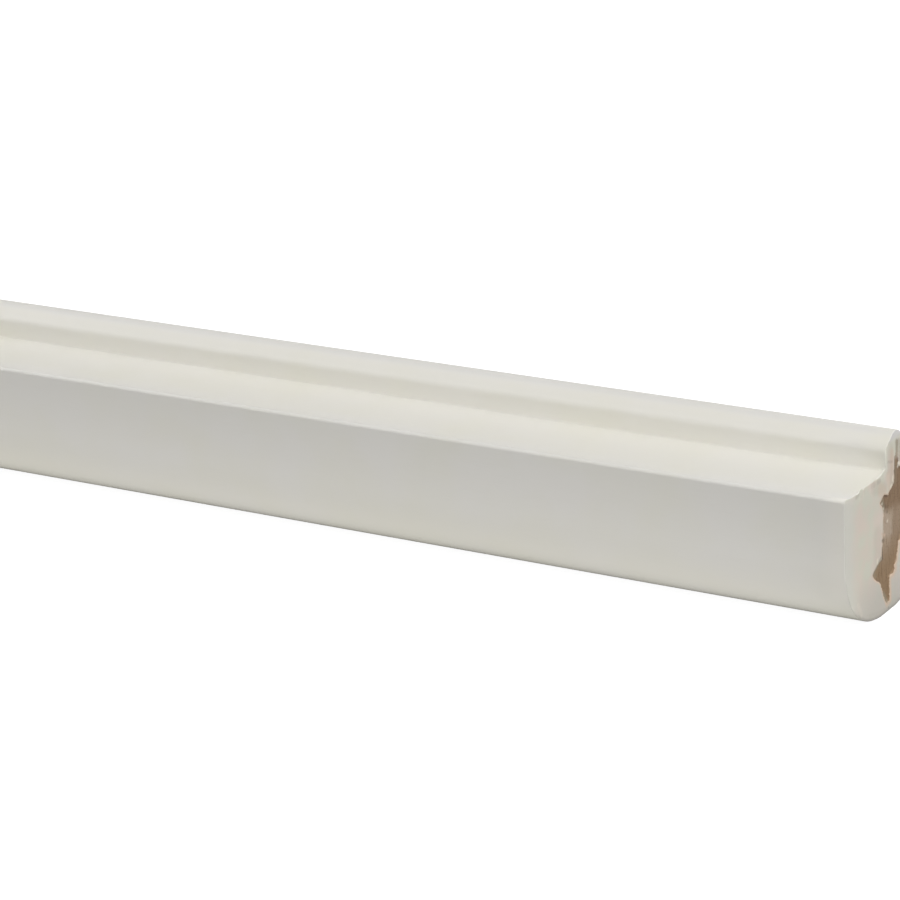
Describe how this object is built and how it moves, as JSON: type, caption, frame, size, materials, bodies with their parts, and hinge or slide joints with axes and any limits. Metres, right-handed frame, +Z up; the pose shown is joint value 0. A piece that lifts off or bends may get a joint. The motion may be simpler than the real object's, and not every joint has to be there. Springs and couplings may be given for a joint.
{
  "type": "window sill trim",
  "caption": "Length of primed hardwood window sill trim: a nosing with a rounded lower half, a slightly hollow ledge and a raised bevelled tongue, cut square.",
  "frame": {"origin": "on the underside, at the middle of the length and of the depth", "axes": "+X along the moulding towards the end seen in the picture, +Y from the front face to the back face, +Z up"},
  "size_m": [0.3, 0.047, 0.0444],
  "materials": {
    "primed_hardwood": "off-white primer, matt to satin, with bare brown hardwood showing where it missed the sawn end"
  },
  "bodies": {
    "root": {"sill_trim": "primed_hardwood"}
  },
  "joints": []
}
